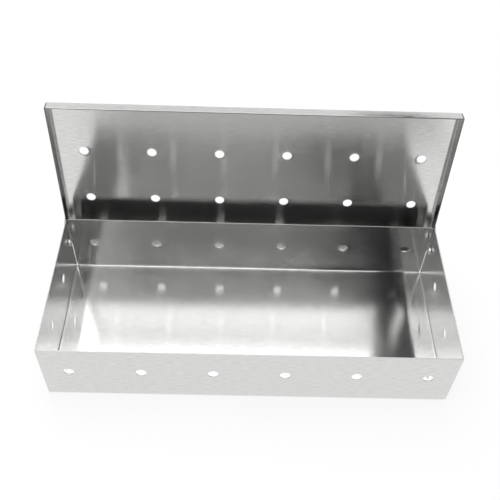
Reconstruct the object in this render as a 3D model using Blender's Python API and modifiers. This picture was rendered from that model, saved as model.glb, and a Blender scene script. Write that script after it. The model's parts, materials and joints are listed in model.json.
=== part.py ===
"""Grill smoker box: a folded stainless steel tray with a hinged lid that is folded from the same sheet.

X runs along the box, Y to its back and Z up. The origin lies under the middle of the tray.
The lid stands open, with its back flange against the back wall of the tray.
"""

import math

import bmesh
import bpy
from mathutils import Matrix, Vector

# Sheet and tray
SHEET = 0.0005
TRAY_LENGTH = 0.222
TRAY_DEPTH = 0.093
TRAY_HEIGHT = 0.0425
TRAY_FOLD_RADIUS = 0.0015
FOLD_SEGMENTS = 5

# Smoke holes
HOLE_DIAMETER = 0.0054
HOLE_COUNT = 6
HOLE_STEP = 0.0386
ROW_COUNT = 2
ROW_STEP = 0.0335
HOLE_HEIGHT = 0.0226
HOLE_SEGMENTS = 32

# Corners, where one wall ends beside the next
SEAM = 0.0003
BACK_SEAM_AT_RIM = 0.0007
SHEET_CORNER_RADIUS = 0.001
CORNER_ARC_STEPS = 4
RELIEF_RADIUS = 0.0009
RELIEF_HEIGHT = 0.0018
RELIEF_SEGMENTS = 16

# Hinge line
HINGE_FROM_BACK = 0.0065
HINGE_BELOW_RIM = 0.0137
OPEN_ANGLE = math.radians(96)
FIT_GAP = 0.0003

# Lid
LID_CLEARANCE = 0.0012
LID_FOLD_RADIUS = 0.0012
LIP_DEPTH = 0.0065
EAR_RADIUS = 0.0045
EAR_FRONT = 0.012
EAR_ARC_STEPS = 16

# Rivets and washers
SHANK_RADIUS = 0.0016
HEAD_RADIUS = 0.0032
HEAD_HEIGHT = 0.0012
HEAD_EDGE = 0.0003
TAIL_RADIUS = 0.0022
TAIL_HEIGHT = 0.0015
TAIL_EDGE = 0.0003
DIMPLE_RADIUS = 0.0008
DIMPLE_DEPTH = 0.0008
WASHER_RADIUS = 0.0034
DOME_STEPS = 6
TURN_STEPS = 32

# How far a cutter runs past what it cuts, and how near two points must be to become one
OVERRUN = 0.001
WELD_DISTANCE = 0.00001

# Sizes that follow from the ones above
HALF_LENGTH = TRAY_LENGTH / 2
HALF_DEPTH = TRAY_DEPTH / 2
HINGE_Y = HALF_DEPTH - HINGE_FROM_BACK
HINGE_Z = TRAY_HEIGHT - HINGE_BELOW_RIM
LID_LENGTH = TRAY_LENGTH + 2 * (LID_CLEARANCE + SHEET)
LID_BACK = HINGE_FROM_BACK + LID_CLEARANCE + SHEET
LID_FRONT = TRAY_DEPTH - HINGE_FROM_BACK + LID_CLEARANCE + SHEET
LID_UNDERSIDE = math.hypot(HINGE_FROM_BACK, HINGE_BELOW_RIM) + FIT_GAP
LID_TOP = LID_UNDERSIDE + SHEET
LIP_EDGE = LID_TOP - LIP_DEPTH
BACK_FLANGE_EDGE = (HINGE_FROM_BACK + FIT_GAP + LID_BACK * -math.cos(OPEN_ANGLE)) / math.sin(OPEN_ANGLE)

STEEL_COLOUR = (0.60, 0.60, 0.59, 1)
LID_COLOUR = (0.55, 0.55, 0.54, 1)
RIVET_COLOUR = (0.72, 0.72, 0.71, 1)
WASHER_COLOUR = (0.50, 0.50, 0.50, 1)


def clear_scene():
    for obj in list(bpy.data.objects):
        bpy.data.objects.remove(obj, do_unlink=True)


def make_collections():
    """One collection holds the parts, and a hidden one the cutters."""
    parts = bpy.data.collections.new("grill_smoker_box")
    cutters = bpy.data.collections.new("cutters")
    for collection in (parts, cutters):
        bpy.context.scene.collection.children.link(collection)
    cutters.hide_render = True
    return parts, cutters


def metal(name, colour, roughness):
    material = bpy.data.materials.new(name)
    material.use_nodes = True
    shader = material.node_tree.nodes["Principled BSDF"]
    shader.inputs["Base Color"].default_value = colour
    shader.inputs["Roughness"].default_value = roughness
    shader.inputs["Metallic"].default_value = 1
    return material


def add_object(name, mesh, collection, material=None):
    obj = bpy.data.objects.new(name, mesh)
    collection.objects.link(obj)
    if material:
        mesh.materials.append(material)
    return obj


def hide_cutter(obj):
    obj.hide_render = True
    obj.display_type = "WIRE"
    return obj


def mesh_from(bm, name):
    mesh = bpy.data.meshes.new(name)
    bm.to_mesh(mesh)
    bm.free()
    return mesh


def cut(target, cutter):
    modifier = target.modifiers.new(cutter.name, "BOOLEAN")
    modifier.operation = "DIFFERENCE"
    modifier.object = cutter


def smooth(obj):
    """Shades the curved stretches smooth and leaves the sheet's own edges crisp."""
    obj.data.shade_smooth()
    obj.data.set_sharp_from_angle(angle=math.radians(30))


def folded_sheet(name, low, high, open_side, fold_radius, collection, material):
    """A box of sheet between two corners, open above (1) or below (-1), with round folds along its plate."""
    size = Vector(high) - Vector(low)
    middle = (Vector(high) + Vector(low)) / 2
    bm = bmesh.new()
    placed = Matrix.Translation(middle) @ Matrix.Diagonal((*size, 1))
    bmesh.ops.create_cube(bm, size=1, matrix=placed)
    missing = [face for face in bm.faces if face.normal.z * open_side > 0.5]
    plate = next(face for face in bm.faces if face.normal.z * open_side < -0.5)
    weights = bm.edges.layers.float.new("bevel_weight_edge")
    for edge in plate.edges:
        edge[weights] = 1
    bmesh.ops.delete(bm, geom=missing, context="FACES_ONLY")
    obj = add_object(name, mesh_from(bm, name), collection, material)
    folds = obj.modifiers.new("folds", "BEVEL")
    folds.limit_method = "WEIGHT"
    folds.width = fold_radius
    folds.segments = FOLD_SEGMENTS
    thickness = obj.modifiers.new("sheet", "SOLIDIFY")
    thickness.thickness = SHEET
    thickness.offset = -1
    thickness.use_even_offset = True
    smooth(obj)
    return obj


def prism(name, outline, thickness, placement, cutters):
    """A flat outline given a thickness along its own Z, as a closed mesh that can cut."""
    curve = bpy.data.curves.new(name, "CURVE")
    curve.dimensions = "2D"
    curve.fill_mode = "BOTH"
    curve.extrude = thickness / 2
    spline = curve.splines.new("POLY")
    spline.points.add(len(outline) - 1)
    for point, (across, up) in zip(spline.points, outline):
        point.co = (across, up, 0, 1)
    spline.use_cyclic_u = True
    drawn = bpy.data.objects.new(name + "_outline", curve)
    cutters.objects.link(drawn)
    drawn.matrix_world = placement
    bpy.context.view_layer.update()
    evaluated = drawn.evaluated_get(bpy.context.evaluated_depsgraph_get())
    mesh = bpy.data.meshes.new_from_object(evaluated)
    bm = bmesh.new()
    bm.from_mesh(mesh)
    bmesh.ops.remove_doubles(bm, verts=bm.verts, dist=WELD_DISTANCE)
    bmesh.ops.recalc_face_normals(bm, faces=bm.faces)
    bm.to_mesh(mesh)
    bm.free()
    obj = add_object(name, mesh, cutters)
    obj.matrix_world = drawn.matrix_world
    bpy.data.objects.remove(drawn)
    return hide_cutter(obj)


def hole_cutter(name, places, direction, radius, length, cutters):
    """A set of round bars, one through each place, all along one direction."""
    turn = Vector((0, 0, 1)).rotation_difference(Vector(direction)).to_matrix().to_4x4()
    bm = bmesh.new()
    for place in places:
        bmesh.ops.create_cone(
            bm,
            cap_ends=True,
            segments=HOLE_SEGMENTS,
            radius1=radius,
            radius2=radius,
            depth=length,
            matrix=Matrix.Translation(place) @ turn,
        )
    return hide_cutter(add_object(name, mesh_from(bm, name), cutters))


def spread(count, step):
    """Places on a line, the same step apart and centred on zero."""
    return [(index - (count - 1) / 2) * step for index in range(count)]


def arc(centre, radius, start, end, steps):
    """Points on an arc of a circle, both ends included."""
    points = []
    for index in range(steps + 1):
        angle = start + (end - start) * index / steps
        points.append((centre[0] + radius * math.cos(angle), centre[1] + radius * math.sin(angle)))
    return points


def seam_outline(face, plate_end, free_edge, gap_at_edge):
    """What is cut from a wall's end beside the next wall's inner face: a seam and a rounded sheet corner."""
    outward = 1 if free_edge > plate_end else -1
    centre = (face - gap_at_edge - SHEET_CORNER_RADIUS, free_edge - outward * SHEET_CORNER_RADIUS)
    past_edge = free_edge + outward * OVERRUN
    return [
        (centre[0], past_edge),
        *arc(centre, SHEET_CORNER_RADIUS, outward * math.pi / 2, 0, CORNER_ARC_STEPS),
        (face - SEAM, plate_end),
        (face, plate_end),
        (face, past_edge),
    ]


def cut_seam(target, name, outline, across, wall, placement, cutters):
    """Cuts a seam outline from the wall through a point, whose end lies in the direction across."""
    along = Vector(across)
    up = Vector((0, 0, 1))
    square_on = Matrix((along, up, along.cross(up))).transposed().to_4x4()
    placed = placement @ Matrix.Translation(wall) @ square_on
    cut(target, prism(name, outline, SHEET + 2 * OVERRUN, placed, cutters))


def tray(collection, cutters):
    """The folded tray, with its smoke holes, corner seams, corner reliefs and hinge holes."""
    low = (-HALF_LENGTH, -HALF_DEPTH, 0)
    high = (HALF_LENGTH, HALF_DEPTH, TRAY_HEIGHT)
    steel = metal("tray_steel", STEEL_COLOUR, 0.3)
    obj = folded_sheet("tray", low, high, 1, TRAY_FOLD_RADIUS, collection, steel)

    # The side walls end behind the front wall, and the back wall ends between them.
    front = seam_outline(HALF_DEPTH - SHEET, TRAY_FOLD_RADIUS, TRAY_HEIGHT, SEAM)
    back = seam_outline(HALF_LENGTH - SHEET, TRAY_FOLD_RADIUS, TRAY_HEIGHT, BACK_SEAM_AT_RIM)
    for side, label in ((-1, "left"), (1, "right")):
        side_wall = (side * (HALF_LENGTH - SHEET / 2), 0, 0)
        back_wall = (0, HALF_DEPTH - SHEET / 2, 0)
        cut_seam(obj, f"tray_front_seam_{label}", front, (0, -1, 0), side_wall, Matrix(), cutters)
        cut_seam(obj, f"tray_back_seam_{label}", back, (side, 0, 0), back_wall, Matrix(), cutters)

    corners = [(x, y, 0) for x in (-HALF_LENGTH, HALF_LENGTH) for y in (-HALF_DEPTH, HALF_DEPTH)]
    cut(obj, hole_cutter("tray_reliefs", corners, (0, 0, 1), RELIEF_RADIUS, 2 * RELIEF_HEIGHT, cutters))
    across = [(x, 0, HOLE_HEIGHT) for x in spread(HOLE_COUNT, HOLE_STEP)]
    along = [(0, y, HOLE_HEIGHT) for y in spread(ROW_COUNT, ROW_STEP)]
    hinge = [(0, HINGE_Y, HINGE_Z)]
    depth = TRAY_DEPTH + 2 * OVERRUN
    length = TRAY_LENGTH + 2 * OVERRUN
    cut(obj, hole_cutter("tray_long_wall_holes", across, (0, 1, 0), HOLE_DIAMETER / 2, depth, cutters))
    cut(obj, hole_cutter("tray_side_wall_holes", along, (1, 0, 0), HOLE_DIAMETER / 2, length, cutters))
    cut(obj, hole_cutter("tray_hinge_holes", hinge, (1, 0, 0), SHANK_RADIUS + FIT_GAP, length, cutters))
    return obj


def tangent_angle(point, radius, side):
    """Where a line from a point touches a circle round zero, as an angle on the circle."""
    away = math.hypot(*point)
    return math.atan2(point[1], point[0]) + side * math.acos(radius / away)


def lid_trim_outline():
    """What is cut off below the lid, seen end on: it leaves the flanges, the back flange and the ears."""
    front_root = (-EAR_FRONT, LIP_EDGE)
    back_root = (LID_BACK - SHEET, BACK_FLANGE_EDGE)
    start = tangent_angle(front_root, EAR_RADIUS, 1)
    end = tangent_angle(back_root, EAR_RADIUS, -1) + 2 * math.pi
    below = -EAR_RADIUS - OVERRUN
    return [
        (-LID_FRONT - OVERRUN, LIP_EDGE),
        front_root,
        *arc((0, 0), EAR_RADIUS, start, end, EAR_ARC_STEPS),
        back_root,
        (LID_BACK + OVERRUN, BACK_FLANGE_EDGE),
        (LID_BACK + OVERRUN, below - OVERRUN),
        (-LID_FRONT - OVERRUN, below - OVERRUN),
    ]


def lid(collection, cutters):
    """The folded lid, drawn shut about the hinge line and then swung open."""
    half = LID_LENGTH / 2
    low = (-half, -LID_FRONT, -EAR_RADIUS - OVERRUN)
    high = (half, LID_BACK, LID_TOP)
    steel = metal("lid_steel", LID_COLOUR, 0.28)
    obj = folded_sheet("lid", low, high, -1, LID_FOLD_RADIUS, collection, steel)
    open_pose = Matrix.Translation((0, HINGE_Y, HINGE_Z)) @ Matrix.Rotation(-OPEN_ANGLE, 4, "X")
    obj.matrix_world = open_pose

    # The outline's first axis is the box's Y and its second the box's Z, so its own Z runs along the box.
    end_on = Matrix(((0, 0, 1, 0), (1, 0, 0, 0), (0, 1, 0, 0), (0, 0, 0, 1)))
    width = LID_LENGTH + 2 * OVERRUN
    cut(obj, prism("lid_trim", lid_trim_outline(), width, open_pose @ end_on, cutters))

    # The lip and the back flange end between the side flanges.
    plate_end = LID_TOP - LID_FOLD_RADIUS
    lip = seam_outline(half - SHEET, plate_end, LIP_EDGE, SEAM)
    back = seam_outline(half - SHEET, plate_end, BACK_FLANGE_EDGE, SEAM)
    for side, label in ((-1, "left"), (1, "right")):
        lip_wall = (0, -LID_FRONT + SHEET / 2, 0)
        back_wall = (0, LID_BACK - SHEET / 2, 0)
        cut_seam(obj, f"lid_lip_seam_{label}", lip, (side, 0, 0), lip_wall, open_pose, cutters)
        cut_seam(obj, f"lid_back_seam_{label}", back, (side, 0, 0), back_wall, open_pose, cutters)

    middle = (LID_UNDERSIDE + LID_TOP) / 2
    lid_centre = HALF_DEPTH - HINGE_FROM_BACK
    places = [
        (x, y - lid_centre, middle)
        for x in spread(HOLE_COUNT, HOLE_STEP)
        for y in spread(ROW_COUNT, ROW_STEP)
    ]
    holes = hole_cutter("lid_holes", places, (0, 0, 1), HOLE_DIAMETER / 2, SHEET + 2 * OVERRUN, cutters)
    pivots = hole_cutter("lid_hinge_holes", [(0, 0, 0)], (1, 0, 0), SHANK_RADIUS + FIT_GAP, width, cutters)
    for cutter in (holes, pivots):
        cutter.matrix_world = open_pose
        cut(obj, cutter)
    return obj


def dome(radius, base, height, edge):
    """Half of a low dome on a short upright edge, from its crown out and down to its foot."""
    points = []
    for index in range(DOME_STEPS + 1):
        angle = index / DOME_STEPS * math.pi / 2
        points.append((radius * math.sin(angle), base + edge + (height - edge) * math.cos(angle)))
    points.append((radius, base))
    return points


def rivet_profile():
    """Half of a rivet, crown first. Zero is the tray wall's outer face, and up is away from the box."""
    head_base = LID_CLEARANCE + SHEET + FIT_GAP
    head = dome(HEAD_RADIUS, head_base, HEAD_HEIGHT, HEAD_EDGE)
    tail_base = -SHEET - FIT_GAP
    tail_end = tail_base - TAIL_HEIGHT
    tail = [(across, tail_base - up) for across, up in reversed(dome(TAIL_RADIUS, 0, TAIL_HEIGHT, TAIL_EDGE))]
    rounded = [(across, up) for across, up in tail if across > DIMPLE_RADIUS]
    dimple = [
        (DIMPLE_RADIUS, tail_end),
        (DIMPLE_RADIUS, tail_end + DIMPLE_DEPTH),
        (0, tail_end + DIMPLE_DEPTH),
    ]
    return [*head, (SHANK_RADIUS, head_base), (SHANK_RADIUS, tail_base), *rounded, *dimple]


def washer_profile():
    """The section of a washer, with a small gap to the wall and to the lid's ear."""
    inner = SHANK_RADIUS + FIT_GAP
    low = FIT_GAP
    high = LID_CLEARANCE - FIT_GAP
    return [(inner, high), (WASHER_RADIUS, high), (WASHER_RADIUS, low), (inner, low)]


def turned(name, profile, closed, collection, material):
    """A profile turned about Z."""
    bm = bmesh.new()
    verts = [bm.verts.new((across, 0, up)) for across, up in profile]
    ends = verts[1:] + verts[:1] if closed else verts[1:]
    for first, second in zip(verts, ends):
        bm.edges.new((first, second))
    obj = add_object(name, mesh_from(bm, name), collection, material)
    screw = obj.modifiers.new("turn", "SCREW")
    screw.steps = TURN_STEPS
    screw.render_steps = TURN_STEPS
    screw.use_merge_vertices = True
    screw.merge_threshold = WELD_DISTANCE
    screw.use_smooth_shade = True
    return obj


def hinge(collection):
    """A rivet and a washer at each end, on the hinge line and facing away from the box."""
    rivet_steel = metal("rivet_steel", RIVET_COLOUR, 0.22)
    washer_steel = metal("washer_steel", WASHER_COLOUR, 0.35)
    for side, label in ((-1, "left"), (1, "right")):
        rivet = turned(f"hinge_rivet_{label}", rivet_profile(), False, collection, rivet_steel)
        washer = turned(f"hinge_washer_{label}", washer_profile(), True, collection, washer_steel)
        for obj in (rivet, washer):
            obj.location = (side * HALF_LENGTH, HINGE_Y, HINGE_Z)
            obj.rotation_euler = (0, side * math.radians(90), 0)


def main():
    clear_scene()
    parts, cutters = make_collections()
    tray(parts, cutters)
    lid(parts, cutters)
    hinge(parts)


main()
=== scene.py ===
"""The looks of a grill smoker box: a folded tray and lid of brushed stainless sheet, riveted together.

Each sheet is drawn flat, as a blank with its holes, and then folded, so that the brushed grain runs
across every wall as it does on the real piece. The grain runs along the box on the blank.
"""

import json
import math

import bmesh
import bpy
from bpy.props import FloatProperty, PointerProperty, StringProperty
from mathutils import Matrix, Vector, noise


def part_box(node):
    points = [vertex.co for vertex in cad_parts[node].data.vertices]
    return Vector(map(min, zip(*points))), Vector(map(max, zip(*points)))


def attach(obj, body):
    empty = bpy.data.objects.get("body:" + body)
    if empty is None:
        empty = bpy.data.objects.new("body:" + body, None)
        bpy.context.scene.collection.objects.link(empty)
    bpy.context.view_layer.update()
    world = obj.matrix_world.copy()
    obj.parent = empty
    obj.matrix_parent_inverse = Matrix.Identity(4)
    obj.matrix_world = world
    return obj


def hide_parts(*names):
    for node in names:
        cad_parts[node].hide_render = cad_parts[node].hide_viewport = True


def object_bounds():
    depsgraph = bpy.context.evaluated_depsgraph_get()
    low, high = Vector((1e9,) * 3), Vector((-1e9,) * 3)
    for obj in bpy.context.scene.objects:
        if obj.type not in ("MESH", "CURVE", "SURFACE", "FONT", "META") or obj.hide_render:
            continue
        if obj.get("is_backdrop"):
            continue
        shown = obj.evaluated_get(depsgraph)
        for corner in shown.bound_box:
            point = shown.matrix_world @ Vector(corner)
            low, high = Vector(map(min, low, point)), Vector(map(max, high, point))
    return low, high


bl_info = {
    "name": "Grill smoker box",
    "version": (1, 0, 0),
    "blender": (4, 5, 0),
    "location": "View3D > Sidebar > Smoker box",
    "description": "Builds the brushed steel tray, lid and hinge of a grill smoker box, and its stage",
    "category": "Object",
}

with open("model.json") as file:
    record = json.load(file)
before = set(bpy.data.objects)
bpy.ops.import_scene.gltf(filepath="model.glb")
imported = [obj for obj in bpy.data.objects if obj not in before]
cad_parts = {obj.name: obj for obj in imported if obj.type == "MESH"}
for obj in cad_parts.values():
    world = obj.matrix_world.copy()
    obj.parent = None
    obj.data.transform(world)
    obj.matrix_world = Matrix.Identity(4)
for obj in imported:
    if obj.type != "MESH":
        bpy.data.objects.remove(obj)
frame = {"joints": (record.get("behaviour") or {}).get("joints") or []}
CAD_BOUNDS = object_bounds()
MM = 0.001

# Where the frame puts the tray and the hinge
TRAY_LOW, TRAY_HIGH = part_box("tray")
LID_LOW, LID_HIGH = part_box("lid")
HINGE = Vector(frame["joints"][0]["pos_m"])
HINGE_FROM_BACK = TRAY_HIGH.y - HINGE.y
HINGE_BELOW_RIM = TRAY_HIGH.z - HINGE.z

# How finely the sheets are drawn
TILE_STEPS = 4
FOLD_STEPS = 7
WIDEST_CELL = 6 * MM
CLOSEST_LINES = 0.2 * MM
SAME_SHARE = 0.001
SAME_POINT = 0.001 * MM
TILE_MARGIN = 1.3 * MM
RIM_LINE_SHARES = (0, 0.08, 0.3, 0.62, 1)
RING_SHARES = (0, 0.16, 0.45, 1)
END_STRETCH = 1.5 * MM
EDGE_ROUNDING = 0.09 * MM
EDGE_ROUNDING_STEPS = 2
SHARP_ANGLE = math.radians(38)
TURN_STEPS = 48
ARC_STEPS = 8

# The hand-made look of thin sheet: how far a wall bows, and how far a punch draws a hole's edge in
BOW = 0.22 * MM
BOW_LENGTH = 55 * MM
DRAW_IN = 0.07 * MM
DRAW_IN_REACH = 1.2 * MM

# The folded sheets: the gaps at their ends, the rounding of their corners, the ears, the slight taper of
# the tray's back wall and the over-bend of the lid's back flange
SEAM = 0.12 * MM
FIT_GAP = 0.3 * MM
SHEET_CORNER = 1.0 * MM
CORNER_REACH = 1.5
BACK_WALL_SLANT = 0.3 * MM
REAR_OVER_BEND = math.radians(0.7)
PIVOT_HOLE = 3.8 * MM
EAR_RADIUS = 4.5 * MM
EAR_FRONT = 12 * MM
HOLES_IN_ROW = 6
ROWS = 2
TRAY_SEED = 3.7
LID_SEED = 8.2
CRISP_ANGLE = math.radians(60)

# Rivets and washers
HEAD_RADIUS = 3.2 * MM
HEAD_HEIGHT = 1.2 * MM
HEAD_EDGE = 0.25 * MM
SHANK_RADIUS = 1.6 * MM
TAIL_RADIUS = 2.2 * MM
TAIL_HEIGHT = 1.5 * MM
TAIL_BEVEL = 0.375 * MM
DIMPLE_RADIUS = 0.8 * MM
DIMPLE_DEPTH = 0.8 * MM
WASHER_RADIUS = 3.4 * MM
RIVET_ROUNDING = 0.35 * MM
WASHER_ROUNDING = 0.12 * MM
LONGEST_ROUNDING = 0.45
TURNED_SHARP_ANGLE = math.radians(50)

# Brushed sheet: width and length of scratches, strands and handling marks, and what they do to the steel
SCRATCH = (0.12 * MM, 5 * MM)
STRAND = (0.35 * MM, 5 * MM)
HANDLING = (16 * MM, 24 * MM)
GRAIN_DETAIL = 2
HANDLING_DETAIL = 3
STRAND_SHARE = 0.45
GRAIN_RANGE = (0.3, 0.7)
HANDLING_RANGE = (0.35, 0.75)
BRUSHED_ROUGHNESS = 0.115
GRAIN_ROUGHNESS = 0.01
HANDLING_ROUGHNESS = 0.015
GROOVE_LEAN = 0.045

# Sheared edges and headed pieces
TORN_STEP = 0.15 * MM
TORN_ROUGHNESS = (0.35, 0.6)
TORN_SHADE = 0.3
DENT = 0.4 * MM
DENT_DEPTH = 0.02 * MM
DENT_STRENGTH = 0.3
DENT_SHADE = 0.15
DENT_ROUGHNESS = 0.06
RIVET_ROUGHNESS = 0.2
WASHER_ROUGHNESS = 0.32

# The studio: a white table, a graded reflector over it that the metal mirrors, a grey card in front of the
# box that is painted shade on the table there and shows only in the metal, and a soft box. The reflector
# and the soft box light the table. Places are in metres from the box
CAMERA_PLACE = (-7.56 * MM, -245.84 * MM, 355.58 * MM)
CAMERA_TURN = (math.radians(40.871), math.radians(-1.588), math.radians(0.355))
CAMERA_LENS = 51.28
SENSOR_WIDTH = 36
NEAREST_SEEN = 0.01
FLOOR_RADIUS = 2.5
FLOOR_STEPS = 96
FLOOR_ROUGHNESS = 0.9
MOTTLE = 60 * MM
MOTTLE_SHADE = 0.03
SOFT_BOX_HEIGHT = 0.59
SOFT_BOX_WIDTH = 0.55
SOFT_BOX_DEPTH = 1.0
SOFT_BOX_ALONG = 0.4
SOFT_BOX_RADIANCE = 0.3
REFLECTOR_ACROSS = (-0.8, 0.36)
REFLECTOR_FRONT = -1.1
REFLECTOR_BACK = 1.15
REFLECTOR_HEIGHT = 0.6

# The reflector's glow along the studio: its front fades to a black gap, and the cloth behind the gap is
# even and fades out at the back. The first two stops are its two ends
FRONT_LEVEL = 4.0
GAP_FRONT = -0.6
GAP_BACK = -0.37
CLOTH_START = -0.22
CLOTH_END = 0.6
CLOTH_LEVEL = 2.4
REFLECTOR_LEVELS = (
    (REFLECTOR_FRONT, FRONT_LEVEL),
    (REFLECTOR_BACK, 0.0),
    (GAP_FRONT, 0.0),
    (GAP_BACK, 0.0),
    (CLOTH_START, CLOTH_LEVEL),
    (CLOTH_END, CLOTH_LEVEL),
)
BRIGHTEST = 5.0

# Across the studio: how far its left edge fans out to the back, and where its sides turn even or dark
FAN = 0.09
LEFT_LEVEL = 1.0
LEFT_EDGE = (-0.42, -0.2)
RIGHT_EDGE = (0.2, 0.212)
RIGHT_EDGE_TURNS = (-0.4, -0.17)
RIGHT_EDGE_IN_FRONT = 0.06
RIGHT_LEVEL = 0.04

# The grey card of painted shade, and how bright the world is for matt things and the table for the lens and
# for metal
SHADE_CARD_COLOUR = "BEBEBE"
SHADE_CARD_ACROSS = (-0.18, 0.17)
SHADE_CARD_ALONG = (-0.6, -0.112)
SHADE_CARD_SOFT = (-0.17, -0.1)
SHADE_CARD_HEIGHT = 0.002
AMBIENT = 0.85
GLOW = 0.8
GLOSSY_GLOW = 0.95


class SmokerBoxSizes(bpy.types.PropertyGroup):
    """The sizes and colours of the box that a user would change."""

    sheet: FloatProperty(
        name="Sheet",
        description="Thickness of the steel sheet",
        default=0.5 * MM, unit="LENGTH", precision=5,
    )
    tray_fold: FloatProperty(
        name="Tray fold",
        description="Outer radius of the tray's folds",
        default=0.95 * MM, unit="LENGTH", precision=5,
    )
    lid_fold: FloatProperty(
        name="Lid fold",
        description="Outer radius of the lid's folds",
        default=0.9 * MM, unit="LENGTH", precision=5,
    )
    hole: FloatProperty(
        name="Smoke hole",
        description="Diameter of a smoke hole",
        default=5.4 * MM, unit="LENGTH", precision=5,
    )
    hole_step: FloatProperty(
        name="Hole step",
        description="Step between the holes of a row",
        default=38.6 * MM, unit="LENGTH", precision=5,
    )
    row_step: FloatProperty(
        name="Row step",
        description="Step between the two rows",
        default=33.5 * MM, unit="LENGTH", precision=5,
    )
    hole_height: FloatProperty(
        name="Hole height",
        description="Height of the tray's holes",
        default=22.6 * MM, unit="LENGTH", precision=5,
    )
    lip: FloatProperty(
        name="Lid lip",
        description="Depth of the lid's lip and side flanges",
        default=6.5 * MM, unit="LENGTH", precision=5,
    )
    open_angle: FloatProperty(
        name="Open angle",
        description="How far the lid stands open",
        default=math.radians(96), subtype="ANGLE",
    )
    steel_light: StringProperty(
        name="Steel, light",
        description="Colour of the bright strands of the grain, as hex",
        default="DDDDDC",
    )
    steel_dark: StringProperty(
        name="Steel, dark",
        description="Colour of the dull strands of the grain, as hex",
        default="CECECD",
    )
    tray_edge: StringProperty(
        name="Tray edge",
        description="Colour of the tray's sheared edges, as hex",
        default="CFCFCE",
    )
    # Darker than the tray's edge: the dull torn edge, with painted shade for the dark line of shade along
    # the lid's lip and flanges
    lid_rim_with_shade: StringProperty(
        name="Lid edge",
        description="Colour of the lid's sheared edges, as hex",
        default="7C7C7A",
    )
    rivet: StringProperty(
        name="Rivet",
        description="Colour of the rivets, as hex",
        default="DEDEDD",
    )
    washer: StringProperty(
        name="Washer",
        description="Colour of the washers, as hex",
        default="BDBDBC",
    )
    floor: StringProperty(
        name="Floor",
        description="Colour of the studio floor, as hex",
        default="F4F4F4",
    )


def linear(hex_colour):
    """An sRGB hex colour as linear red, green, blue and alpha."""
    channels = []
    for start in (0, 2, 4):
        value = int(hex_colour[start:start + 2], 16) / 255
        channels.append(value / 12.92 if value <= 0.04045 else ((value + 0.055) / 1.055) ** 2.4)
    return (*channels, 1)


def add_node(tree, kind, settings=None, inputs=None):
    """Adds a node with its settings, and gives each named input its value or its link."""
    node = tree.nodes.new(kind)
    for name, value in (settings or {}).items():
        setattr(node, name, value)
    for name, value in (inputs or {}).items():
        if isinstance(value, bpy.types.NodeSocket):
            tree.links.new(value, node.inputs[name])
        else:
            node.inputs[name].default_value = value
    return node


def new_material(name):
    """A new material with an empty node tree and its output."""
    material = bpy.data.materials.new(name)
    material.use_nodes = True
    tree = material.node_tree
    tree.nodes.clear()
    return material, tree, add_node(tree, "ShaderNodeOutputMaterial")


def brushed_stainless(name, light, dark):
    """Cold-rolled stainless sheet, brushed along the box with a belt.

    The belt leaves fine scratches that all run one way. They smear a reflection across the grain and keep
    it sharp along the grain, so holes and lamps show as soft bands. The map's first axis lies across it.
    Real scratches are some 0.03 mm wide, too fine to show, so they are drawn 0.12 mm wide,
    with brighter and duller strands of 0.35 mm among them.
    """
    material, tree, output = new_material(name)
    uv = add_node(tree, "ShaderNodeUVMap", {"uv_map": "blank"})
    scratches = grain_noise(tree, uv.outputs[0], SCRATCH, GRAIN_DETAIL)
    strands = grain_noise(tree, uv.outputs[0], STRAND, GRAIN_DETAIL)
    handling = grain_noise(tree, uv.outputs[0], HANDLING, HANDLING_DETAIL)
    both = add_node(
        tree,
        "ShaderNodeMix",
        {"data_type": "FLOAT"},
        {"Factor": STRAND_SHARE, "A": scratches.outputs["Fac"], "B": strands.outputs["Fac"]},
    )
    glint = add_node(
        tree,
        "ShaderNodeMapRange",
        {},
        {"Value": strands.outputs["Fac"], "From Min": GRAIN_RANGE[0], "From Max": GRAIN_RANGE[1]},
    )
    colour = add_node(
        tree,
        "ShaderNodeMix",
        {"data_type": "RGBA"},
        {"Factor": glint.outputs["Result"], "A": linear(dark), "B": linear(light)},
    )
    dulled = add_node(
        tree,
        "ShaderNodeMapRange",
        {},
        {
            "Value": both.outputs["Result"],
            "From Min": GRAIN_RANGE[0],
            "From Max": GRAIN_RANGE[1],
            "To Min": BRUSHED_ROUGHNESS - GRAIN_ROUGHNESS,
            "To Max": BRUSHED_ROUGHNESS + GRAIN_ROUGHNESS,
        },
    )
    touched = add_node(
        tree,
        "ShaderNodeMapRange",
        {},
        {
            "Value": handling.outputs["Fac"],
            "From Min": HANDLING_RANGE[0],
            "From Max": HANDLING_RANGE[1],
            "To Min": 0,
            "To Max": HANDLING_ROUGHNESS,
        },
    )
    total = add_node(
        tree,
        "ShaderNodeMath",
        {"operation": "ADD"},
        {0: dulled.outputs["Result"], 1: touched.outputs["Result"]},
    )
    lean = add_node(
        tree,
        "ShaderNodeMapRange",
        {"clamp": False},
        {"Value": both.outputs["Result"], "To Min": 0.5 - GROOVE_LEAN, "To Max": 0.5 + GROOVE_LEAN},
    )
    leaning = add_node(
        tree, "ShaderNodeCombineColor", {}, {"Red": lean.outputs["Result"], "Green": 0.5, "Blue": 1}
    )
    grooves = add_node(
        tree, "ShaderNodeNormalMap", {"uv_map": "blank"}, {"Color": leaning.outputs["Color"]}
    )
    tangent = add_node(tree, "ShaderNodeTangent", {"direction_type": "UV_MAP", "uv_map": "blank"})
    shader = add_node(
        tree,
        "ShaderNodeBsdfPrincipled",
        {},
        {
            "Base Color": colour.outputs["Result"],
            "Metallic": 1,
            "Roughness": total.outputs["Value"],
            "Anisotropic": 1,
            "Normal": grooves.outputs["Normal"],
            "Tangent": tangent.outputs["Tangent"],
        },
    )
    tree.links.new(shader.outputs["BSDF"], output.inputs["Surface"])
    return material


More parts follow.
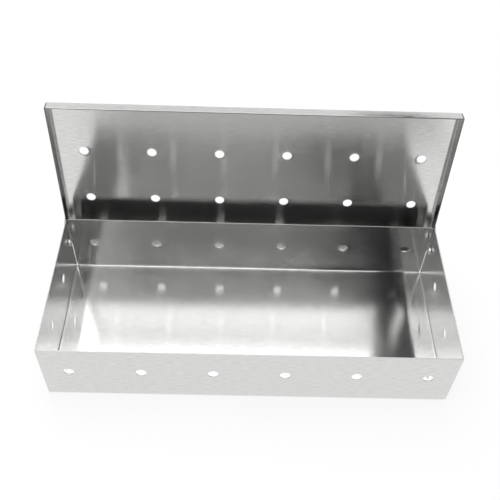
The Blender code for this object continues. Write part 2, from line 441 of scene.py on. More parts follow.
def grain_noise(tree, vector, strand, detail):
    """Noise stretched along the grain, from the width and length of a strand."""
    across, along = strand
    mapping = add_node(
        tree, "ShaderNodeMapping", {}, {"Vector": vector, "Scale": (1 / across, 1 / along, 1)}
    )
    return add_node(
        tree,
        "ShaderNodeTexNoise",
        {"noise_dimensions": "2D"},
        {"Vector": mapping.outputs["Vector"], "Scale": 1, "Detail": detail, "Roughness": 0.6},
    )


def sheared_stainless(name, colour):
    """Stainless sheet where shears or a punch went through it.

    Half of the edge is torn, so it is dull and shows as a thin dark line beside the brushed faces.
    The lid's edge colour is darker still: painted shade, for the dark line of shade along the lid's lip and
    flanges.
    The torn streaks run through the sheet, some 0.15 mm apart.
    """
    material, tree, output = new_material(name)
    place = add_node(tree, "ShaderNodeTexCoord")
    torn = add_node(
        tree,
        "ShaderNodeTexNoise",
        {},
        {"Vector": place.outputs["Object"], "Scale": 1 / TORN_STEP, "Detail": 1},
    )
    shade = add_node(
        tree,
        "ShaderNodeMix",
        {"data_type": "RGBA", "blend_type": "MULTIPLY"},
        {"Factor": TORN_SHADE, "A": linear(colour), "B": torn.outputs["Color"]},
    )
    dulled = add_node(
        tree,
        "ShaderNodeMapRange",
        {},
        {"Value": torn.outputs["Fac"], "To Min": TORN_ROUGHNESS[0], "To Max": TORN_ROUGHNESS[1]},
    )
    shader = add_node(
        tree,
        "ShaderNodeBsdfPrincipled",
        {},
        {"Base Color": shade.outputs["Result"], "Metallic": 1, "Roughness": dulled.outputs["Result"]},
    )
    tree.links.new(shader.outputs["BSDF"], output.inputs["Surface"])
    return material


def headed_stainless(name, colour, roughness):
    """Stainless wire, cold headed in a die and then tumbled.

    Tumbling leaves it brighter and smoother than the sheet, with small soft dents instead of a grain.
    The dents are about 0.4 mm across.
    """
    material, tree, output = new_material(name)
    place = add_node(tree, "ShaderNodeTexCoord")
    dents = add_node(
        tree,
        "ShaderNodeTexNoise",
        {},
        {"Vector": place.outputs["Object"], "Scale": 1 / DENT, "Detail": 2},
    )
    dulled = add_node(
        tree,
        "ShaderNodeMapRange",
        {},
        {
            "Value": dents.outputs["Fac"],
            "To Min": roughness - DENT_ROUGHNESS,
            "To Max": roughness + DENT_ROUGHNESS,
        },
    )
    shade = add_node(
        tree,
        "ShaderNodeMix",
        {"data_type": "RGBA", "blend_type": "MULTIPLY"},
        {"Factor": DENT_SHADE, "A": linear(colour), "B": dents.outputs["Color"]},
    )
    bump = add_node(
        tree,
        "ShaderNodeBump",
        {},
        {"Strength": DENT_STRENGTH, "Distance": DENT_DEPTH, "Height": dents.outputs["Fac"]},
    )
    shader = add_node(
        tree,
        "ShaderNodeBsdfPrincipled",
        {},
        {
            "Base Color": shade.outputs["Result"],
            "Metallic": 1,
            "Roughness": dulled.outputs["Result"],
            "Normal": bump.outputs["Normal"],
        },
    )
    tree.links.new(shader.outputs["BSDF"], output.inputs["Surface"])
    return material


def spread(count, step):
    """Places on a line, the same step apart and centred on zero."""
    return [(index - (count - 1) / 2) * step for index in range(count)]


def tile_lines(centre, half):
    """Grid lines through the square round a hole, spaced so that they meet the hole at even angles."""
    angles = [math.pi / 4 * index / TILE_STEPS for index in range(-TILE_STEPS, TILE_STEPS + 1)]
    return [centre + half * math.tan(angle) for angle in angles]


def fill_lines(lines, low, high):
    """The lines from low to high, in order, with wide gaps divided and lines that nearly meet made one."""
    kept = [low]
    for line in sorted(lines):
        if line - kept[-1] > CLOSEST_LINES and high - line > CLOSEST_LINES:
            kept.append(line)
    kept.append(high)
    filled = [kept[0]]
    for line in kept[1:]:
        start = filled[-1]
        cells = math.ceil((line - start) / WIDEST_CELL - SAME_SHARE)
        filled += [start + (line - start) * index / cells for index in range(1, cells + 1)]
    return filled


def nearest(lines, value):
    """The number of the line that lies nearest to a value."""
    return min(range(len(lines)), key=lambda index: abs(lines[index] - value))


def bowed(u, v, seed):
    """How far the sheet stands in from flat at a point, from 0 to 1, smooth along both ways."""
    return 0.5 + 0.5 * noise.noise(Vector((u / BOW_LENGTH, v / BOW_LENGTH, seed)))


def fade(value, low, high):
    """Zero at both ends of a stretch and one at its middle."""
    share = min(max((value - low) / (high - low), 0), 1)
    return math.sin(math.pi * share)


class Blank:
    """A flat sheet with one plate and four flaps, and the way that it folds.

    The plate lies between low and high at a height, and the flaps turn up (1) or down (-1) from it.
    Points are given as they lie on the flat blank, and they are placed on the outer face.
    """

    def __init__(self, low, high, height, turn, radius, seed):
        self.low = low
        self.high = high
        self.height = height
        self.turn = turn
        self.radius = radius
        self.arc = radius * math.pi / 2
        self.seed = seed
        self.over_bend = {}
        self.bm = bmesh.new()
        self.uv = self.bm.loops.layers.uv.new("blank")
        self.verts = {}
        self.flat = {}

    def beyond(self, value, axis):
        """How far a point lies past the plate along one axis, and on which side."""
        if value > self.high[axis]:
            return value - self.high[axis], 1
        if value < self.low[axis]:
            return self.low[axis] - value, -1
        return 0, 0

    def depth_of(self, past):
        """How deep a flap's point lies from the plate's outer face."""
        if past > self.arc:
            return past - self.arc + self.radius
        return self.radius * (1 - math.cos(past / self.radius))

    def past_for(self, depth):
        """How far past the plate a straight flap's point lies for its depth."""
        return depth - self.radius + self.arc

    def place(self, u, v, axis, inward=0):
        """Where a point of the blank goes. Axis is the way that its flap leans out, None on the plate."""
        if axis is None:
            return Vector((u, v, self.height + self.turn * inward))
        past, side = self.beyond((u, v)[axis], axis)
        angle = min(past / self.radius, math.pi / 2)
        straight = max(past - self.arc, 0)
        extra = self.over_bend.get((axis, side), 0)
        out = (self.radius - inward) * math.sin(angle) - straight * math.sin(extra)
        up = self.depth_of(past) + inward * math.cos(angle) - straight * (1 - math.cos(extra))
        edge = self.high[axis] if side > 0 else self.low[axis]
        point = [u, v, self.height + self.turn * up]
        point[axis] = edge + side * out
        return Vector(point)

    def key(self, u, v):
        """What stands for a point of the blank in the lists, so that faces share their corners."""
        return round(u / SAME_POINT), round(v / SAME_POINT)

    def vert(self, u, v, where):
        """The corner at a point of the blank, made when it is first asked for."""
        key = self.key(u, v)
        if key not in self.verts:
            self.verts[key] = self.bm.verts.new(where)
            self.flat[self.verts[key]] = (u, v)
        return self.verts[key]

    def face(self, corners):
        """A face from corners that run anticlockwise on the blank, turned so that it faces out."""
        ordered = corners if self.turn < 0 else list(reversed(corners))
        return self.bm.faces.new(ordered)

    def panel(self, columns, rows, holes, axis=None, skip=None, shape=None):
        """One wall as a grid, with rings of faces round each hole.

        Holes are (u, v, radius). Skip says which cells the wall lacks, and shape moves a point of it.
        """

        def vert_at(u, v):
            key = self.key(u, v)
            if key in self.verts:
                return self.verts[key]
            new_u, new_v = shape(u, v) if shape else (u, v)
            inward = self.inward(u, v, columns, rows, holes)
            vert = self.vert(u, v, self.place(new_u, new_v, axis, inward))
            self.flat[vert] = (new_u, new_v)
            return vert

        taken = set()
        for hole_u, hole_v, radius in holes:
            half = radius + TILE_MARGIN
            first_column, last_column = nearest(columns, hole_u - half), nearest(columns, hole_u + half)
            first_row, last_row = nearest(rows, hole_v - half), nearest(rows, hole_v + half)
            for column in range(first_column, last_column):
                for row in range(first_row, last_row):
                    taken.add((column, row))
            border = [(columns[i], rows[first_row]) for i in range(first_column, last_column)]
            border += [(columns[last_column], rows[i]) for i in range(first_row, last_row)]
            border += [(columns[i], rows[last_row]) for i in range(last_column, first_column, -1)]
            border += [(columns[first_column], rows[i]) for i in range(last_row, first_row, -1)]
            self.rings(border, (hole_u, hole_v), radius, vert_at)
        for column in range(len(columns) - 1):
            for row in range(len(rows) - 1):
                middle = ((columns[column] + columns[column + 1]) / 2, (rows[row] + rows[row + 1]) / 2)
                if (column, row) in taken or (skip and skip(*middle)):
                    continue
                corners = ((column, row), (column + 1, row), (column + 1, row + 1), (column, row + 1))
                self.face([vert_at(columns[i], rows[j]) for i, j in corners])

    def rings(self, border, centre, radius, vert_at):
        """Rings of faces between a hole's edge and a border that runs anticlockwise round it."""
        loops = []
        for share in RING_SHARES:
            loop = []
            for u, v in border:
                angle = math.atan2(v - centre[1], u - centre[0])
                edge = (centre[0] + radius * math.cos(angle), centre[1] + radius * math.sin(angle))
                loop.append(vert_at(edge[0] + (u - edge[0]) * share, edge[1] + (v - edge[1]) * share))
            loops.append(loop)
        for inner, outer in zip(loops, loops[1:]):
            for index in range(len(border)):
                after = (index + 1) % len(border)
                self.face([outer[index], outer[after], inner[after], inner[index]])

    def inward(self, u, v, columns, rows, holes):
        """How far in from the true wall a point stands: the wall's slow bow, and the draw of the punch."""
        depth = BOW * bowed(u, v, self.seed) * fade(u, columns[0], columns[-1]) * fade(v, rows[0], rows[-1])
        for hole_u, hole_v, radius in holes:
            gap = math.hypot(u - hole_u, v - hole_v) - radius
            if gap < DRAW_IN_REACH:
                depth += DRAW_IN * (1 - max(gap, 0) / DRAW_IN_REACH) ** 2
        return depth

    def finish(self, name, sheet, placement, materials):
        """Gives the sheet its thickness and softened edges, and returns it as an object."""
        for face in self.bm.faces:
            for loop in face.loops:
                u, v = self.flat[loop.vert]
                loop[self.uv].uv = (v, u)
        self.bm.normal_update()
        mesh = bpy.data.meshes.new(name)
        self.bm.to_mesh(mesh)
        self.bm.free()
        for material in materials:
            mesh.materials.append(material)
        obj = bpy.data.objects.new(name, mesh)
        bpy.context.scene.collection.objects.link(obj)
        thick = obj.modifiers.new("thickness", "SOLIDIFY")
        thick.thickness = sheet
        thick.offset = -1
        thick.use_even_offset = True
        thick.material_offset_rim = 1
        soften = obj.modifiers.new("soft edges", "BEVEL")
        soften.width = EDGE_ROUNDING
        soften.segments = EDGE_ROUNDING_STEPS
        soften.limit_method = "ANGLE"
        soften.angle_limit = CRISP_ANGLE
        settle(obj)
        obj.data.transform(placement)
        return obj


def settle(obj):
    """Applies an object's modifiers and shades it smooth up to its sharp edges."""
    evaluated = obj.evaluated_get(bpy.context.evaluated_depsgraph_get())
    made = bpy.data.meshes.new_from_object(evaluated)
    obj.modifiers.clear()
    obj.data = made
    made.shade_smooth()
    made.set_sharp_from_angle(angle=SHARP_ANGLE)


def rounded_end(value, start, end_at, full_end):
    """Moves the last stretch of a wall, from start to its full end, so that it ends at end_at instead."""
    if abs(value) <= start:
        return value
    share = (abs(value) - start) / (full_end - start)
    return math.copysign(start + (end_at - start) * share, value)


def corner_cut(to_edge, radius):
    """How much a rounded sheet corner takes off a wall's end, at a distance from its free edge."""
    inside = min(max(radius - to_edge, 0), radius)
    return radius - math.sqrt(radius ** 2 - inside ** 2)


def hand_in(obj, body, node):
    """Lets a piece stand for its CAD node."""
    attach(obj, body)
    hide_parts(node)


def build_tray(sizes, materials):
    """The folded tray, on its blank."""
    sheet, radius = sizes.sheet, sizes.tray_fold
    half_length, half_depth, height = TRAY_HIGH.x, TRAY_HIGH.y, TRAY_HIGH.z
    plate = (half_length - radius, half_depth - radius)
    blank = Blank((-plate[0], -plate[1]), plate, 0, 1, radius, TRAY_SEED)
    hole = sizes.hole / 2
    half = hole + TILE_MARGIN
    pivot = PIVOT_HOLE / 2
    columns = [line for x in spread(HOLES_IN_ROW, sizes.hole_step) for line in tile_lines(x, half)]
    columns = fill_lines([*columns, -plate[0] + END_STRETCH, plate[0] - END_STRETCH], -plate[0], plate[0])
    rows = [line for y in spread(ROWS, sizes.row_step) for line in tile_lines(y, half)]
    rows += tile_lines(HINGE.y, pivot + TILE_MARGIN)
    rows = fill_lines([*rows, -plate[1] + END_STRETCH, plate[1] - END_STRETCH], -plate[1], plate[1])
    blank.panel(columns, rows, [])

    fold = [blank.arc * index / FOLD_STEPS for index in range(FOLD_STEPS + 1)]
    rim = [blank.past_for(height - share * CORNER_REACH * SHEET_CORNER) for share in RIM_LINE_SHARES]
    level = blank.past_for(sizes.hole_height)

    # The front wall runs the full length, and the back wall ends between the side walls.
    deep = fill_lines([*tile_lines(level, half), *rim], blank.arc, rim[0])
    for side in (-1, 1):
        flap = sorted(side * (plate[1] + past) for past in fold[:-1] + deep)
        full_end = half_length if side < 0 else half_length - sheet - SEAM
        slant = 0 if side < 0 else BACK_WALL_SLANT
        wide = [-full_end, *columns, full_end]
        holes = [(x, side * (plate[1] + level), hole) for x in spread(HOLES_IN_ROW, sizes.hole_step)]

        def shape(u, v, full_end=full_end, slant=slant):
            depth = blank.depth_of(abs(v) - plate[1])
            end = full_end - slant * depth / height - corner_cut(height - depth, SHEET_CORNER)
            return rounded_end(u, plate[0] - END_STRETCH, end, full_end), v

        def skip(u, v):
            return abs(u) > plate[0] and abs(v) < plate[1] + blank.arc

        blank.panel(wide, flap, holes, 1, skip, shape)

    # The side walls end behind the front wall and run out to the back.
    pivot_level = blank.past_for(HINGE.z)
    lines = [*tile_lines(level, half), *tile_lines(pivot_level, pivot + TILE_MARGIN), *rim]
    deep = fill_lines(lines, blank.arc, rim[0])
    front_end = half_depth - sheet - SEAM
    for side in (-1, 1):
        flap = sorted(side * (plate[0] + past) for past in fold[:-1] + deep)
        long = [-front_end, *rows, half_depth]
        holes = [(side * (plate[0] + level), y, hole) for y in spread(ROWS, sizes.row_step)]
        holes.append((side * (plate[0] + pivot_level), HINGE.y, pivot))

        def shape(u, v):
            depth = blank.depth_of(abs(u) - plate[0])
            full_end = front_end if v < 0 else half_depth
            end = full_end - corner_cut(height - depth, SHEET_CORNER)
            return u, rounded_end(v, plate[1] - END_STRETCH, end, full_end)

        def skip(u, v):
            return abs(v) > plate[1] and abs(u) < plate[0] + blank.arc

        blank.panel(flap, long, holes, 0, skip, shape)
    return blank.finish("folded_tray", sheet, Matrix(), materials)


def ear_outline(lip_edge, back_edge, back):
    """The lower edge of an ear, from its front root round the pivot to its back root, seen end on."""
    front_root = (-EAR_FRONT, lip_edge)
    back_root = (back, back_edge)
    reach = math.acos(EAR_RADIUS / math.hypot(*front_root))
    start = math.atan2(front_root[1], front_root[0]) + reach
    reach = math.acos(EAR_RADIUS / math.hypot(*back_root))
    end = math.atan2(back_root[1], back_root[0]) - reach + 2 * math.pi
    steps = 2 * ARC_STEPS
    angles = [start + (end - start) * index / steps for index in range(steps + 1)]
    return [(EAR_RADIUS * math.cos(angle), EAR_RADIUS * math.sin(angle)) for angle in angles]


def build_lid(sizes, materials):
    """The folded lid, on its blank, swung open about the hinge."""
    sheet, radius = sizes.sheet, sizes.lid_fold
    half_length = LID_HIGH.x
    clearance = half_length - TRAY_HIGH.x - sheet
    top = math.hypot(HINGE_FROM_BACK, HINGE_BELOW_RIM) + FIT_GAP + sheet
    back = HINGE_FROM_BACK + clearance + sheet
    front = 2 * TRAY_HIGH.y - HINGE_FROM_BACK + clearance + sheet
    back_reach = HINGE_FROM_BACK + FIT_GAP - back * math.cos(sizes.open_angle)
    back_edge = back_reach / math.sin(sizes.open_angle)
    lip_edge = top - sizes.lip
    low = (radius - half_length, radius - front)
    high = (half_length - radius, back - radius)
    blank = Blank(low, high, top, -1, radius, LID_SEED)
    blank.over_bend[(1, 1)] = REAR_OVER_BEND

    hole = sizes.hole / 2
    half = hole + TILE_MARGIN
    centre = (back - front) / 2
    rows_at = [centre + y for y in spread(ROWS, sizes.row_step)]
    columns = [line for x in spread(HOLES_IN_ROW, sizes.hole_step) for line in tile_lines(x, half)]
    columns = fill_lines([*columns, low[0] + END_STRETCH, high[0] - END_STRETCH], low[0], high[0])
    rows = [line for y in rows_at for line in tile_lines(y, half)]
    rows += [-EAR_FRONT, low[1] + END_STRETCH, high[1] - END_STRETCH]
    rows = fill_lines(rows, low[1], high[1])
    punched = [(x, y, hole) for x in spread(HOLES_IN_ROW, sizes.hole_step) for y in rows_at]
    blank.panel(columns, rows, punched)

    fold = [blank.arc * index / FOLD_STEPS for index in range(FOLD_STEPS + 1)]
    end = half_length - sheet - SEAM
    wide = [-end, *columns, end]
    for side, edge in ((-1, lip_edge), (1, back_edge)):
        depth = top - edge
        rim = [blank.past_for(depth - share * SHEET_CORNER) for share in RIM_LINE_SHARES]
        deep = fill_lines(rim, blank.arc, rim[0])
        root = high[1] if side > 0 else -low[1]
        flap = sorted(side * (root + past) for past in fold[:-1] + deep)

        def shape(u, v, depth=depth, root=root):
            down = blank.depth_of(abs(v) - root)
            end_here = end - corner_cut(depth - down, SHEET_CORNER)
            return rounded_end(u, high[0] - END_STRETCH, end_here, end), v

        def skip(u, v, root=root):
            return abs(u) > high[0] and abs(v) < root + blank.arc

        blank.panel(wide, flap, [], 1, skip, shape)

    # The side flanges run the full depth, and an ear grows from the back of each.
    edge_past = blank.past_for(sizes.lip)
    deep = fill_lines([], blank.arc, edge_past)
    long = [-front, *rows, back]
    for side in (-1, 1):
        flap = sorted(side * (high[0] + past) for past in fold[:-1] + deep)

        def skip(u, v):
            return not low[1] < v < high[1] and abs(u) < high[0] + blank.arc

        blank.panel(flap, long, [], 0, skip)
        blank_u = side * (high[0] + edge_past)
        root_line = [(blank_u, y) for y in reversed(long) if y >= -EAR_FRONT - CLOSEST_LINES]
        lower = [*ear_outline(lip_edge, back_edge, back), (back, back_edge)]
        border = root_line + [(side * (high[0] + blank.past_for(top - z)), y) for y, z in lower]
        if side < 0:
            border.reverse()
        centre_u = side * (high[0] + blank.past_for(top))

        def vert_at(u, v):
            return blank.vert(u, v, blank.place(u, v, 0))

        blank.rings(border, (centre_u, 0), PIVOT_HOLE / 2, vert_at)
    opened = Matrix.Translation(HINGE) @ Matrix.Rotation(-sizes.open_angle, 4, "X")
    return blank.finish("folded_lid", sheet, opened, materials)


def rounded(points, radius):
    """A profile with its inner corners rounded, from corners given as (across, up)."""
    made = [points[0]]
    for before, corner, after in zip(points, points[1:], points[2:]):
        corner_at = Vector(corner)
        into = Vector(before) - corner_at
        out = Vector(after) - corner_at
        reach = min(radius, into.length * LONGEST_ROUNDING, out.length * LONGEST_ROUNDING)
        start = corner_at + into.normalized() * reach
        end = corner_at + out.normalized() * reach
        for index in range(ARC_STEPS // 2 + 1):
            share = index / (ARC_STEPS // 2)
            point = start * (1 - share) ** 2 + corner_at * 2 * share * (1 - share) + end * share ** 2
            made.append(tuple(point))
    made.append(points[-1])
    return made


def turned(name, profile, closed, material):
    """A profile of (across, up) turned about Z."""
    bm = bmesh.new()
    verts = [bm.verts.new((across, 0, up)) for across, up in profile]
    ends = verts[1:] + verts[:1] if closed else verts[1:]
    edges = [bm.edges.new(pair) for pair in zip(verts, ends)]
    bmesh.ops.spin(
        bm,
        geom=verts + edges,
        cent=(0, 0, 0),
        axis=(0, 0, 1),
        angle=2 * math.pi,
        steps=TURN_STEPS,
        use_merge=True,
    )
    bmesh.ops.remove_doubles(bm, verts=bm.verts, dist=SAME_POINT)
    bmesh.ops.recalc_face_normals(bm, faces=bm.faces)
    mesh = bpy.data.meshes.new(name)
    bm.to_mesh(mesh)
    bm.free()
    mesh.materials.append(material)
    mesh.shade_smooth()
    mesh.set_sharp_from_angle(angle=TURNED_SHARP_ANGLE)
    obj = bpy.data.objects.new(name, mesh)
    bpy.context.scene.collection.objects.link(obj)
    return obj


def rivet_profile(sheet, clearance):
    """Half of a rivet, crown first. Zero is the tray wall's outer face, and up is away from the box."""
    base = clearance + sheet + FIT_GAP
    crown = []
    for index in range(ARC_STEPS + 1):
        angle = index / ARC_STEPS * math.pi / 2
        rise = base + HEAD_EDGE + (HEAD_HEIGHT - HEAD_EDGE) * math.cos(angle)
        crown.append((HEAD_RADIUS * math.sin(angle), rise))
    tail_base = -sheet - FIT_GAP
    tail_end = tail_base - TAIL_HEIGHT
    under = rounded(
        [
            (HEAD_RADIUS, base + HEAD_EDGE),
            (HEAD_RADIUS, base),
            (SHANK_RADIUS, base),
            (SHANK_RADIUS, tail_base),
            (TAIL_RADIUS, tail_base),
            (TAIL_RADIUS, tail_base - TAIL_HEIGHT / 2),
            (TAIL_RADIUS - TAIL_BEVEL, tail_end),
            (DIMPLE_RADIUS, tail_end),
            (DIMPLE_RADIUS, tail_end + DIMPLE_DEPTH),
            (0, tail_end + DIMPLE_DEPTH),
        ],
        RIVET_ROUNDING,
    )
    return crown[:-1] + under


def washer_profile(clearance):
    """The section of a washer, with its stamped edges a little rounded."""
    inner = SHANK_RADIUS + FIT_GAP
    low, high = FIT_GAP, clearance - FIT_GAP
    middle = (low + high) / 2
    start = (inner, middle)
    corners = [start, (inner, high), (WASHER_RADIUS, high), (WASHER_RADIUS, low), (inner, low), start]
    return rounded(corners, WASHER_ROUNDING)[:-1]


class SMOKERBOX_OT_tray(bpy.types.Operator):
    """Build the folded tray with its smoke holes"""

    bl_idname = "smoker_box.tray"
    bl_label = "Tray"

    def execute(self, context):
        sizes = context.scene.smoker_box
        steel = brushed_stainless("brushed_stainless_tray", sizes.steel_light, sizes.steel_dark)
        edge = sheared_stainless("sheared_stainless_tray_edge", sizes.tray_edge)
        hand_in(build_tray(sizes, (steel, edge)), "tray_body", "tray")
        return {"FINISHED"}


class SMOKERBOX_OT_lid(bpy.types.Operator):
    """Build the folded lid with its ears"""

    bl_idname = "smoker_box.lid"
    bl_label = "Lid"

    def execute(self, context):
        sizes = context.scene.smoker_box
        steel = brushed_stainless("brushed_stainless_lid", sizes.steel_light, sizes.steel_dark)
        # The lid's edge colour carries painted shade: the dark line of shade along its lip and flanges.
        edge = sheared_stainless("sheared_stainless_lid_rim_shaded", sizes.lid_rim_with_shade)
        hand_in(build_lid(sizes, (steel, edge)), "lid_body", "lid")
        return {"FINISHED"}


class SMOKERBOX_OT_hinge(bpy.types.Operator):
    """Build the two rivets and the two washers of the hinge"""

    bl_idname = "smoker_box.hinge"
    bl_label = "Hinge"

    def execute(self, context):
        sizes = context.scene.smoker_box
        rivet_steel = headed_stainless("headed_stainless_rivet", sizes.rivet, RIVET_ROUGHNESS)
        washer_steel = headed_stainless("stamped_stainless_washer", sizes.washer, WASHER_ROUGHNESS)
        clearance = LID_HIGH.x - TRAY_HIGH.x - sizes.sheet
        for side, label in ((-1, "left"), (1, "right")):
            rivet = turned(f"rivet_{label}", rivet_profile(sizes.sheet, clearance), False, rivet_steel)
            washer = turned(f"washer_{label}", washer_profile(clearance), True, washer_steel)
            for obj in (rivet, washer):
                obj.location = (side * TRAY_HIGH.x, HINGE.y, HINGE.z)
                obj.rotation_euler = (0, side * math.pi / 2, 0)
            hand_in(rivet, "tray_body", f"hinge_rivet_{label}")
            hand_in(washer, "tray_body", f"hinge_washer_{label}")
        return {"FINISHED"}


def seen_directly(tree):
    """One for rays that show the background: those of the camera, of metal and of glass."""
    path = add_node(tree, "ShaderNodeLightPath")
    seen = add_node(
        tree,
        "ShaderNodeMath",
        {"operation": "MAXIMUM"},
        {0: path.outputs["Is Camera Ray"], 1: path.outputs["Is Glossy Ray"]},
    )
    return add_node(
        tree,
        "ShaderNodeMath",
        {"operation": "MAXIMUM"},
        {0: seen.outputs[0], 1: path.outputs["Is Transmission Ray"]},
    )


def floor_material(colour):
    """Matt white laminate, lit evenly: it shows nearly white to lens and metal, and keeps a soft shadow."""
    material, tree, output = new_material("white_laminate_floor")
    place = add_node(tree, "ShaderNodeTexCoord")
    mottle = add_node(
        tree,
        "ShaderNodeTexNoise",
        {},
        {"Vector": place.outputs["Object"], "Scale": 1 / MOTTLE, "Detail": 2},
    )
    shade = add_node(
        tree,
        "ShaderNodeMix",
        {"data_type": "RGBA", "blend_type": "MULTIPLY"},
        {"Factor": MOTTLE_SHADE, "A": linear(colour), "B": mottle.outputs["Color"]},
    )
    matt = add_node(
        tree,
        "ShaderNodeBsdfPrincipled",
        {},
        {"Base Color": shade.outputs["Result"], "Roughness": FLOOR_ROUGHNESS},
    )
    glow = add_node(tree, "ShaderNodeEmission", {}, {"Color": (1, 1, 1, 1), "Strength": 1})
    path = add_node(tree, "ShaderNodeLightPath")
    lens = add_node(
        tree, "ShaderNodeMath", {"operation": "MULTIPLY"}, {0: path.outputs["Is Camera Ray"], 1: GLOW}
    )
    metal = add_node(
        tree,
        "ShaderNodeMath",
        {"operation": "MULTIPLY"},
        {0: path.outputs["Is Glossy Ray"], 1: GLOSSY_GLOW},
    )
    share = add_node(
        tree, "ShaderNodeMath", {"operation": "ADD"}, {0: lens.outputs[0], 1: metal.outputs[0]}
    )
    mixed = add_node(tree, "ShaderNodeMixShader", {}, {0: share.outputs[0]})
    tree.links.new(matt.outputs["BSDF"], mixed.inputs[1])
    tree.links.new(glow.outputs["Emission"], mixed.inputs[2])
    tree.links.new(mixed.outputs["Shader"], output.inputs["Surface"])
    return material


def reflector_material():
    """The glow of a large cloth reflector: graded along the studio, even at its left, dark at its right."""
    material, tree, output = new_material("graded_reflector_cloth")
    place = add_node(tree, "ShaderNodeTexCoord")
    split = add_node(tree, "ShaderNodeSeparateXYZ", {}, {"Vector": place.outputs["Object"]})
    share = add_node(
        tree,
        "ShaderNodeMapRange",
        {},
        {"Value": split.outputs["Y"], "From Min": REFLECTOR_FRONT, "From Max": REFLECTOR_BACK},
    )
    levels = add_node(tree, "ShaderNodeValToRGB", {}, {"Fac": share.outputs["Result"]})
    stops = levels.color_ramp.elements
    for index, (along, level) in enumerate(REFLECTOR_LEVELS):
        at = (along - REFLECTOR_FRONT) / (REFLECTOR_BACK - REFLECTOR_FRONT)
        stop = stops[index] if index < 2 else stops.new(at)
        stop.position = at
        stop.color = (level / BRIGHTEST, level / BRIGHTEST, level / BRIGHTEST, 1)
    middle = add_node(
        tree, "ShaderNodeMath", {"operation": "MULTIPLY"}, {0: levels.outputs["Color"], 1: BRIGHTEST}
    )
    fanned = add_node(
        tree,
        "ShaderNodeMath",
        {"operation": "MULTIPLY_ADD"},
        {0: split.outputs["Y"], 1: FAN, 2: split.outputs["X"]},
    )
    from_left = add_node(
        tree,
        "ShaderNodeMapRange",
        {"interpolation_type": "SMOOTHSTEP"},
        {"Value": fanned.outputs[0], "From Min": LEFT_EDGE[0], "From Max": LEFT_EDGE[1]},
    )
    joined = add_node(
        tree,
        "ShaderNodeMix",
        {"data_type": "FLOAT"},
        {"Factor": from_left.outputs["Result"], "A": LEFT_LEVEL, "B": middle.outputs[0]},
    )
    edge_start = add_node(
        tree,
        "ShaderNodeMapRange",
        {},
        {
            "Value": split.outputs["Y"],
            "From Min": RIGHT_EDGE_TURNS[0],
            "From Max": RIGHT_EDGE_TURNS[1],
            "To Min": RIGHT_EDGE_IN_FRONT,
            "To Max": RIGHT_EDGE[0],
        },
    )
    right = add_node(
        tree,
        "ShaderNodeMapRange",
        {"interpolation_type": "SMOOTHSTEP"},
        {
            "Value": split.outputs["X"],
            "From Min": edge_start.outputs["Result"],
            "From Max": RIGHT_EDGE[1],
            "To Min": 1,
            "To Max": RIGHT_LEVEL,
        },
    )
    level = add_node(
        tree,
        "ShaderNodeMath",
        {"operation": "MULTIPLY"},
        {0: joined.outputs["Result"], 1: right.outputs["Result"]},
    )
    glow = add_node(tree, "ShaderNodeEmission", {}, {"Color": (1, 1, 1, 1), "Strength": level.outputs[0]})
    tree.links.new(glow.outputs["Emission"], output.inputs["Surface"])
    return material


def shade_card_material():
    """A grey card of painted shade, the shade on the table in front of the box, that thins out to nothing
    along its left edge.
    """
    material, tree, output = new_material("painted_shade_grey_card")
    place = add_node(tree, "ShaderNodeTexCoord")
    split = add_node(tree, "ShaderNodeSeparateXYZ", {}, {"Vector": place.outputs["Object"]})
    cover = add_node(
        tree,
        "ShaderNodeMapRange",
        {"interpolation_type": "SMOOTHSTEP"},
        {"Value": split.outputs["X"], "From Min": SHADE_CARD_SOFT[0], "From Max": SHADE_CARD_SOFT[1]},
    )
    shader = add_node(
        tree,
        "ShaderNodeBsdfPrincipled",
        {},
        {"Base Color": linear(SHADE_CARD_COLOUR), "Roughness": 1, "Alpha": cover.outputs["Result"]},
    )
    tree.links.new(shader.outputs["BSDF"], output.inputs["Surface"])
    return material


def add_floor(colour):
    """A round white table top, level with the box's underside."""
    bm = bmesh.new()
    bmesh.ops.create_circle(bm, cap_ends=True, segments=FLOOR_STEPS, radius=FLOOR_RADIUS)
    mesh = bpy.data.meshes.new("studio_floor")
    bm.to_mesh(mesh)
    bm.free()
    floor = bpy.data.objects.new("studio_floor", mesh)
    bpy.context.scene.collection.objects.link(floor)
    mesh.materials.append(floor_material(colour))
    floor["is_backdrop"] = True


def add_card(name, across, along, height, material, lights_table):
    """A level card between two x and two y values that the metal mirrors. It may light the table too."""
    bm = bmesh.new()
    corners = [(across[0], along[0]), (across[1], along[0]), (across[1], along[1]), (across[0], along[1])]
    bm.faces.new([bm.verts.new((x, y, height)) for x, y in corners])
    mesh = bpy.data.meshes.new(name)
    bm.to_mesh(mesh)
    bm.free()
    card = bpy.data.objects.new(name, mesh)
    bpy.context.scene.collection.objects.link(card)
    mesh.materials.append(material)
    card.visible_camera = False
    card.visible_diffuse = lights_table
    card.visible_shadow = lights_table
    card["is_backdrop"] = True


def add_soft_box():
    """A level soft box that lights the table, and that the metal doesn't mirror."""
    light = bpy.data.lights.new("soft_box", "AREA")
    light.shape = "RECTANGLE"
    light.size = SOFT_BOX_WIDTH
    light.size_y = SOFT_BOX_DEPTH
    light.energy = SOFT_BOX_RADIANCE * math.pi * SOFT_BOX_WIDTH * SOFT_BOX_DEPTH
    lamp = bpy.data.objects.new("soft_box", light)
    lamp.location = (0, SOFT_BOX_ALONG, SOFT_BOX_HEIGHT)
    lamp.visible_glossy = False
    bpy.context.scene.collection.objects.link(lamp)


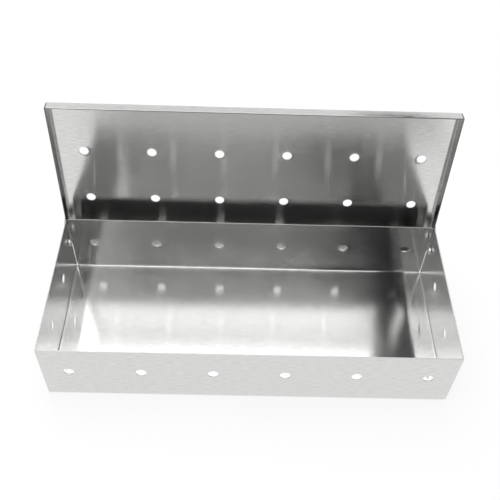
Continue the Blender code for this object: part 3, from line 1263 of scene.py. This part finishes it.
def add_world():
    """White all round for the lens and the metal, and a plain level of soft light for the rest."""
    world = bpy.data.worlds.new("studio")
    world.use_nodes = True
    tree = world.node_tree
    tree.nodes.clear()
    level = add_node(
        tree,
        "ShaderNodeMapRange",
        {},
        {"Value": seen_directly(tree).outputs[0], "To Min": AMBIENT, "To Max": 1},
    )
    background = add_node(
        tree, "ShaderNodeBackground", {}, {"Color": (1, 1, 1, 1), "Strength": level.outputs["Result"]}
    )
    output = add_node(tree, "ShaderNodeOutputWorld")
    tree.links.new(background.outputs["Background"], output.inputs["Surface"])
    bpy.context.scene.world = world


def add_camera():
    """The camera, where a fit to the photograph's corners and holes put it."""
    data = bpy.data.cameras.new("camera")
    data.lens = CAMERA_LENS
    data.sensor_width = SENSOR_WIDTH
    data.clip_start = NEAREST_SEEN
    camera = bpy.data.objects.new("camera", data)
    camera.location = CAMERA_PLACE
    camera.rotation_euler = CAMERA_TURN
    bpy.context.scene.collection.objects.link(camera)
    bpy.context.scene.camera = camera


class SMOKERBOX_OT_stage(bpy.types.Operator):
    """Build the studio: table, reflector, grey card of painted shade, soft box, world and camera"""

    bl_idname = "smoker_box.stage"
    bl_label = "Stage"

    def execute(self, context):
        add_floor(context.scene.smoker_box.floor)
        along = (REFLECTOR_FRONT, REFLECTOR_BACK)
        add_card("reflector", REFLECTOR_ACROSS, along, REFLECTOR_HEIGHT, reflector_material(), True)
        # The grey card is painted shade: the shade on the table in front of the box, seen only in the
        # metal.
        add_card("painted_shade_card", SHADE_CARD_ACROSS, SHADE_CARD_ALONG, SHADE_CARD_HEIGHT, shade_card_material(), False)
        add_soft_box()
        add_world()
        add_camera()
        context.scene.view_settings.view_transform = "Standard"
        return {"FINISHED"}


class SMOKERBOX_PT_parts(bpy.types.Panel):
    """Lists the sizes and colours, and a button for each piece"""

    bl_idname = "SMOKERBOX_PT_parts"
    bl_label = "Smoker box"
    bl_space_type = "VIEW_3D"
    bl_region_type = "UI"
    bl_category = "Smoker box"

    def draw(self, context):
        sizes = context.scene.smoker_box
        for name in sizes.bl_rna.properties.keys():
            if name not in ("rna_type", "name"):
                self.layout.prop(sizes, name)
        for operator in OPERATORS:
            self.layout.operator(operator.bl_idname)


OPERATORS = (SMOKERBOX_OT_tray, SMOKERBOX_OT_lid, SMOKERBOX_OT_hinge, SMOKERBOX_OT_stage)
CLASSES = (SmokerBoxSizes, *OPERATORS, SMOKERBOX_PT_parts)


def register():
    for cls in CLASSES:
        bpy.utils.register_class(cls)
    bpy.types.Scene.smoker_box = PointerProperty(type=SmokerBoxSizes)


def unregister():
    del bpy.types.Scene.smoker_box
    for cls in reversed(CLASSES):
        bpy.utils.unregister_class(cls)


def main():
    register()
    bpy.ops.smoker_box.tray()
    bpy.ops.smoker_box.lid()
    bpy.ops.smoker_box.hinge()
    bpy.ops.smoker_box.stage()
    boxes = {"cad": CAD_BOUNDS, "visual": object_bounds()}
    {name: [list(corner) for corner in box] for name, box in boxes.items()}


if __name__ == "__main__":
    main()
